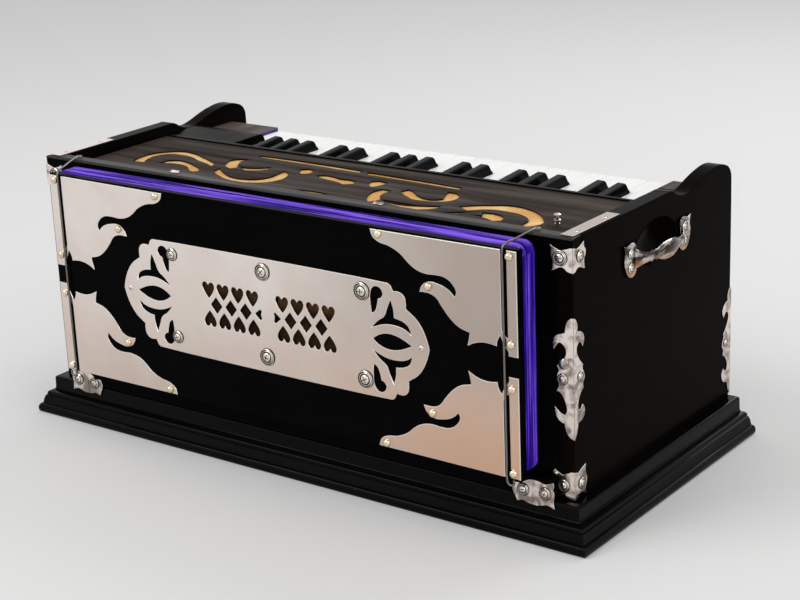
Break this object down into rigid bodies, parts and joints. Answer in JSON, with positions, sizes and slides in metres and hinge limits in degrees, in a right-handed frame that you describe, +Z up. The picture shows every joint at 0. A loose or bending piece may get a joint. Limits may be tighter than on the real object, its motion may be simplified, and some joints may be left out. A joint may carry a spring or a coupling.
{
  "type": "hand-pumped reed organ",
  "caption": "Table-top hand-pumped reed organ: black cabinet on a moulded plinth, pleated cloth bellows, pierced metal plates, scroll-cut lid, piano-style keys and bowed carrying handles.",
  "frame": {"origin": "centre of the underside of the plinth, at the middle of the overall length and depth", "axes": "+X along the keyboard towards its bass end, +Y towards the player, +Z up"},
  "size_m": [0.6172, 0.3084, 0.257],
  "materials": {
    "black_lacquer": "gloss lacquer",
    "grey_wood": "satin stain",
    "brown_wood": "satin stain",
    "pale_wood": "sanded",
    "violet_cloth": "woven, pleated",
    "dark_cloth": "woven, pleated",
    "nickel": "polished nickel",
    "chrome": "polished",
    "ivory_white": "gloss",
    "key_black": "gloss"
  },
  "bodies": {
    "cabinet": {"plinth": "black_lacquer", "left_cheek": "black_lacquer", "right_cheek": "black_lacquer", "front_board": "black_lacquer", "player_panel": "black_lacquer", "key_frame": "brown_wood", "reed_board": "pale_wood", "left_handle": "chrome", "right_handle": "chrome"},
    "lid": {"fret_lid": "grey_wood"},
    "bellows": {"bellows_board": "black_lacquer", "bellows_cloth": "violet_cloth", "centre_plate": "nickel", "upper_left_plate": "nickel", "upper_right_plate": "nickel", "lower_left_plate": "nickel", "lower_right_plate": "nickel"},
    "latch_left": {"left_latch": "chrome"},
    "latch_right": {"right_latch": "chrome"},
    "reservoir": {"reservoir_board": "pale_wood", "reservoir_cloth": "dark_cloth"},
    "stop_treble": {"treble_stop": "key_black"},
    "stop_bass": {"bass_stop": "key_black"},
    "lever_c3": {"key_c3": "ivory_white"},
    "lever_c_sharp3": {"key_c_sharp3": "key_black"},
    "lever_d3": {"key_d3": "ivory_white"},
    "lever_d_sharp3": {"key_d_sharp3": "key_black"},
    "lever_e3": {"key_e3": "ivory_white"},
    "lever_f3": {"key_f3": "ivory_white"},
    "lever_f_sharp3": {"key_f_sharp3": "key_black"},
    "lever_g3": {"key_g3": "ivory_white"},
    "lever_g_sharp3": {"key_g_sharp3": "key_black"},
    "lever_a3": {"key_a3": "ivory_white"},
    "lever_a_sharp3": {"key_a_sharp3": "key_black"},
    "lever_b3": {"key_b3": "ivory_white"},
    "lever_c4": {"key_c4": "ivory_white"},
    "lever_c_sharp4": {"key_c_sharp4": "key_black"},
    "lever_d4": {"key_d4": "ivory_white"},
    "lever_d_sharp4": {"key_d_sharp4": "key_black"},
    "lever_e4": {"key_e4": "ivory_white"},
    "lever_f4": {"key_f4": "ivory_white"},
    "lever_f_sharp4": {"key_f_sharp4": "key_black"},
    "lever_g4": {"key_g4": "ivory_white"},
    "lever_g_sharp4": {"key_g_sharp4": "key_black"},
    "lever_a4": {"key_a4": "ivory_white"},
    "lever_a_sharp4": {"key_a_sharp4": "key_black"},
    "lever_b4": {"key_b4": "ivory_white"},
    "lever_c5": {"key_c5": "ivory_white"},
    "lever_c_sharp5": {"key_c_sharp5": "key_black"},
    "lever_d5": {"key_d5": "ivory_white"},
    "lever_d_sharp5": {"key_d_sharp5": "key_black"},
    "lever_e5": {"key_e5": "ivory_white"},
    "lever_f5": {"key_f5": "ivory_white"},
    "lever_f_sharp5": {"key_f_sharp5": "key_black"},
    "lever_g5": {"key_g5": "ivory_white"},
    "lever_g_sharp5": {"key_g_sharp5": "key_black"},
    "lever_a5": {"key_a5": "ivory_white"},
    "lever_a_sharp5": {"key_a_sharp5": "key_black"},
    "lever_b5": {"key_b5": "ivory_white"},
    "lever_c6": {"key_c6": "ivory_white"}
  },
  "joints": [
    {"name": "bellows_hinge", "type": "hinge", "parent": "cabinet", "child": "bellows", "pos_m": [0, -0.14365, 0.0555], "axis": [1, 0, 0], "range_deg": [0, 24], "deforming": ["bellows_cloth"]},
    {"name": "lid_hinge", "type": "hinge", "parent": "cabinet", "child": "lid", "pos_m": [0, -0.1102, 0.245], "axis": [1, 0, 0], "range_deg": [0, 90]},
    {"name": "latch_left_turn", "type": "hinge", "parent": "bellows", "child": "latch_left", "pos_m": [-0.2415, -0.15315, 0.15], "axis": [0, 0, 1], "range_deg": [0, 90]},
    {"name": "latch_right_turn", "type": "hinge", "parent": "bellows", "child": "latch_right", "pos_m": [0.2415, -0.15315, 0.15], "axis": [0, 0, -1], "range_deg": [0, 90]},
    {"name": "reservoir_hinge", "type": "hinge", "parent": "cabinet", "child": "reservoir", "pos_m": [0, 0.11165, 0.176], "axis": [1, 0, 0], "range_deg": [0, 6], "stiffness_Nm_per_rad": 3, "springref_deg": -20.05, "deforming": ["reservoir_cloth"]},
    {"name": "treble_stop_slide", "type": "slide", "parent": "cabinet", "child": "stop_treble", "axis": [0, 1, 0], "range_m": [0, 0.015]},
    {"name": "bass_stop_slide", "type": "slide", "parent": "cabinet", "child": "stop_bass", "axis": [0, 1, 0], "range_m": [0, 0.015]},
    {"name": "key_c3_press", "type": "hinge", "parent": "cabinet", "child": "lever_c3", "pos_m": [0.2289, -0.01335, 0.22285], "axis": [-1, 0, 0], "range_deg": [0, 3.5], "stiffness_Nm_per_rad": 0.5, "springref_deg": -6.88},
    {"name": "key_c_sharp3_press", "type": "hinge", "parent": "cabinet", "child": "lever_c_sharp3", "pos_m": [0.2188, -0.01335, 0.22285], "axis": [-1, 0, 0], "range_deg": [0, 3.5], "stiffness_Nm_per_rad": 0.5, "springref_deg": -6.88},
    {"name": "key_d3_press", "type": "hinge", "parent": "cabinet", "child": "lever_d3", "pos_m": [0.2087, -0.01335, 0.22285], "axis": [-1, 0, 0], "range_deg": [0, 3.5], "stiffness_Nm_per_rad": 0.5, "springref_deg": -6.88},
    {"name": "key_d_sharp3_press", "type": "hinge", "parent": "cabinet", "child": "lever_d_sharp3", "pos_m": [0.1986, -0.01335, 0.22285], "axis": [-1, 0, 0], "range_deg": [0, 3.5], "stiffness_Nm_per_rad": 0.5, "springref_deg": -6.88},
    {"name": "key_e3_press", "type": "hinge", "parent": "cabinet", "child": "lever_e3", "pos_m": [0.1885, -0.01335, 0.22285], "axis": [-1, 0, 0], "range_deg": [0, 3.5], "stiffness_Nm_per_rad": 0.5, "springref_deg": -6.88},
    {"name": "key_f3_press", "type": "hinge", "parent": "cabinet", "child": "lever_f3", "pos_m": [0.1683, -0.01335, 0.22285], "axis": [-1, 0, 0], "range_deg": [0, 3.5], "stiffness_Nm_per_rad": 0.5, "springref_deg": -6.88},
    {"name": "key_f_sharp3_press", "type": "hinge", "parent": "cabinet", "child": "lever_f_sharp3", "pos_m": [0.1582, -0.01335, 0.22285], "axis": [-1, 0, 0], "range_deg": [0, 3.5], "stiffness_Nm_per_rad": 0.5, "springref_deg": -6.88},
    {"name": "key_g3_press", "type": "hinge", "parent": "cabinet", "child": "lever_g3", "pos_m": [0.1481, -0.01335, 0.22285], "axis": [-1, 0, 0], "range_deg": [0, 3.5], "stiffness_Nm_per_rad": 0.5, "springref_deg": -6.88},
    {"name": "key_g_sharp3_press", "type": "hinge", "parent": "cabinet", "child": "lever_g_sharp3", "pos_m": [0.138, -0.01335, 0.22285], "axis": [-1, 0, 0], "range_deg": [0, 3.5], "stiffness_Nm_per_rad": 0.5, "springref_deg": -6.88},
    {"name": "key_a3_press", "type": "hinge", "parent": "cabinet", "child": "lever_a3", "pos_m": [0.1279, -0.01335, 0.22285], "axis": [-1, 0, 0], "range_deg": [0, 3.5], "stiffness_Nm_per_rad": 0.5, "springref_deg": -6.88},
    {"name": "key_a_sharp3_press", "type": "hinge", "parent": "cabinet", "child": "lever_a_sharp3", "pos_m": [0.1178, -0.01335, 0.22285], "axis": [-1, 0, 0], "range_deg": [0, 3.5], "stiffness_Nm_per_rad": 0.5, "springref_deg": -6.88},
    {"name": "key_b3_press", "type": "hinge", "parent": "cabinet", "child": "lever_b3", "pos_m": [0.1077, -0.01335, 0.22285], "axis": [-1, 0, 0], "range_deg": [0, 3.5], "stiffness_Nm_per_rad": 0.5, "springref_deg": -6.88},
    {"name": "key_c4_press", "type": "hinge", "parent": "cabinet", "child": "lever_c4", "pos_m": [0.0875, -0.01335, 0.22285], "axis": [-1, 0, 0], "range_deg": [0, 3.5], "stiffness_Nm_per_rad": 0.5, "springref_deg": -6.88},
    {"name": "key_c_sharp4_press", "type": "hinge", "parent": "cabinet", "child": "lever_c_sharp4", "pos_m": [0.0774, -0.01335, 0.22285], "axis": [-1, 0, 0], "range_deg": [0, 3.5], "stiffness_Nm_per_rad": 0.5, "springref_deg": -6.88},
    {"name": "key_d4_press", "type": "hinge", "parent": "cabinet", "child": "lever_d4", "pos_m": [0.0673, -0.01335, 0.22285], "axis": [-1, 0, 0], "range_deg": [0, 3.5], "stiffness_Nm_per_rad": 0.5, "springref_deg": -6.88},
    {"name": "key_d_sharp4_press", "type": "hinge", "parent": "cabinet", "child": "lever_d_sharp4", "pos_m": [0.0572, -0.01335, 0.22285], "axis": [-1, 0, 0], "range_deg": [0, 3.5], "stiffness_Nm_per_rad": 0.5, "springref_deg": -6.88},
    {"name": "key_e4_press", "type": "hinge", "parent": "cabinet", "child": "lever_e4", "pos_m": [0.0471, -0.01335, 0.22285], "axis": [-1, 0, 0], "range_deg": [0, 3.5], "stiffness_Nm_per_rad": 0.5, "springref_deg": -6.88},
    {"name": "key_f4_press", "type": "hinge", "parent": "cabinet", "child": "lever_f4", "pos_m": [0.0269, -0.01335, 0.22285], "axis": [-1, 0, 0], "range_deg": [0, 3.5], "stiffness_Nm_per_rad": 0.5, "springref_deg": -6.88},
    {"name": "key_f_sharp4_press", "type": "hinge", "parent": "cabinet", "child": "lever_f_sharp4", "pos_m": [0.0168, -0.01335, 0.22285], "axis": [-1, 0, 0], "range_deg": [0, 3.5], "stiffness_Nm_per_rad": 0.5, "springref_deg": -6.88},
    {"name": "key_g4_press", "type": "hinge", "parent": "cabinet", "child": "lever_g4", "pos_m": [0.0067, -0.01335, 0.22285], "axis": [-1, 0, 0], "range_deg": [0, 3.5], "stiffness_Nm_per_rad": 0.5, "springref_deg": -6.88},
    {"name": "key_g_sharp4_press", "type": "hinge", "parent": "cabinet", "child": "lever_g_sharp4", "pos_m": [-0.0034, -0.01335, 0.22285], "axis": [-1, 0, 0], "range_deg": [0, 3.5], "stiffness_Nm_per_rad": 0.5, "springref_deg": -6.88},
    {"name": "key_a4_press", "type": "hinge", "parent": "cabinet", "child": "lever_a4", "pos_m": [-0.0135, -0.01335, 0.22285], "axis": [-1, 0, 0], "range_deg": [0, 3.5], "stiffness_Nm_per_rad": 0.5, "springref_deg": -6.88},
    {"name": "key_a_sharp4_press", "type": "hinge", "parent": "cabinet", "child": "lever_a_sharp4", "pos_m": [-0.0236, -0.01335, 0.22285], "axis": [-1, 0, 0], "range_deg": [0, 3.5], "stiffness_Nm_per_rad": 0.5, "springref_deg": -6.88},
    {"name": "key_b4_press", "type": "hinge", "parent": "cabinet", "child": "lever_b4", "pos_m": [-0.0337, -0.01335, 0.22285], "axis": [-1, 0, 0], "range_deg": [0, 3.5], "stiffness_Nm_per_rad": 0.5, "springref_deg": -6.88},
    {"name": "key_c5_press", "type": "hinge", "parent": "cabinet", "child": "lever_c5", "pos_m": [-0.0539, -0.01335, 0.22285], "axis": [-1, 0, 0], "range_deg": [0, 3.5], "stiffness_Nm_per_rad": 0.5, "springref_deg": -6.88},
    {"name": "key_c_sharp5_press", "type": "hinge", "parent": "cabinet", "child": "lever_c_sharp5", "pos_m": [-0.064, -0.01335, 0.22285], "axis": [-1, 0, 0], "range_deg": [0, 3.5], "stiffness_Nm_per_rad": 0.5, "springref_deg": -6.88},
    {"name": "key_d5_press", "type": "hinge", "parent": "cabinet", "child": "lever_d5", "pos_m": [-0.0741, -0.01335, 0.22285], "axis": [-1, 0, 0], "range_deg": [0, 3.5], "stiffness_Nm_per_rad": 0.5, "springref_deg": -6.88},
    {"name": "key_d_sharp5_press", "type": "hinge", "parent": "cabinet", "child": "lever_d_sharp5", "pos_m": [-0.0842, -0.01335, 0.22285], "axis": [-1, 0, 0], "range_deg": [0, 3.5], "stiffness_Nm_per_rad": 0.5, "springref_deg": -6.88},
    {"name": "key_e5_press", "type": "hinge", "parent": "cabinet", "child": "lever_e5", "pos_m": [-0.0943, -0.01335, 0.22285], "axis": [-1, 0, 0], "range_deg": [0, 3.5], "stiffness_Nm_per_rad": 0.5, "springref_deg": -6.88},
    {"name": "key_f5_press", "type": "hinge", "parent": "cabinet", "child": "lever_f5", "pos_m": [-0.1145, -0.01335, 0.22285], "axis": [-1, 0, 0], "range_deg": [0, 3.5], "stiffness_Nm_per_rad": 0.5, "springref_deg": -6.88},
    {"name": "key_f_sharp5_press", "type": "hinge", "parent": "cabinet", "child": "lever_f_sharp5", "pos_m": [-0.1246, -0.01335, 0.22285], "axis": [-1, 0, 0], "range_deg": [0, 3.5], "stiffness_Nm_per_rad": 0.5, "springref_deg": -6.88},
    {"name": "key_g5_press", "type": "hinge", "parent": "cabinet", "child": "lever_g5", "pos_m": [-0.1347, -0.01335, 0.22285], "axis": [-1, 0, 0], "range_deg": [0, 3.5], "stiffness_Nm_per_rad": 0.5, "springref_deg": -6.88},
    {"name": "key_g_sharp5_press", "type": "hinge", "parent": "cabinet", "child": "lever_g_sharp5", "pos_m": [-0.1448, -0.01335, 0.22285], "axis": [-1, 0, 0], "range_deg": [0, 3.5], "stiffness_Nm_per_rad": 0.5, "springref_deg": -6.88},
    {"name": "key_a5_press", "type": "hinge", "parent": "cabinet", "child": "lever_a5", "pos_m": [-0.1549, -0.01335, 0.22285], "axis": [-1, 0, 0], "range_deg": [0, 3.5], "stiffness_Nm_per_rad": 0.5, "springref_deg": -6.88},
    {"name": "key_a_sharp5_press", "type": "hinge", "parent": "cabinet", "child": "lever_a_sharp5", "pos_m": [-0.165, -0.01335, 0.22285], "axis": [-1, 0, 0], "range_deg": [0, 3.5], "stiffness_Nm_per_rad": 0.5, "springref_deg": -6.88},
    {"name": "key_b5_press", "type": "hinge", "parent": "cabinet", "child": "lever_b5", "pos_m": [-0.1751, -0.01335, 0.22285], "axis": [-1, 0, 0], "range_deg": [0, 3.5], "stiffness_Nm_per_rad": 0.5, "springref_deg": -6.88},
    {"name": "key_c6_press", "type": "hinge", "parent": "cabinet", "child": "lever_c6", "pos_m": [-0.1953, -0.01335, 0.22285], "axis": [-1, 0, 0], "range_deg": [0, 3.5], "stiffness_Nm_per_rad": 0.5, "springref_deg": -6.88}
  ]
}
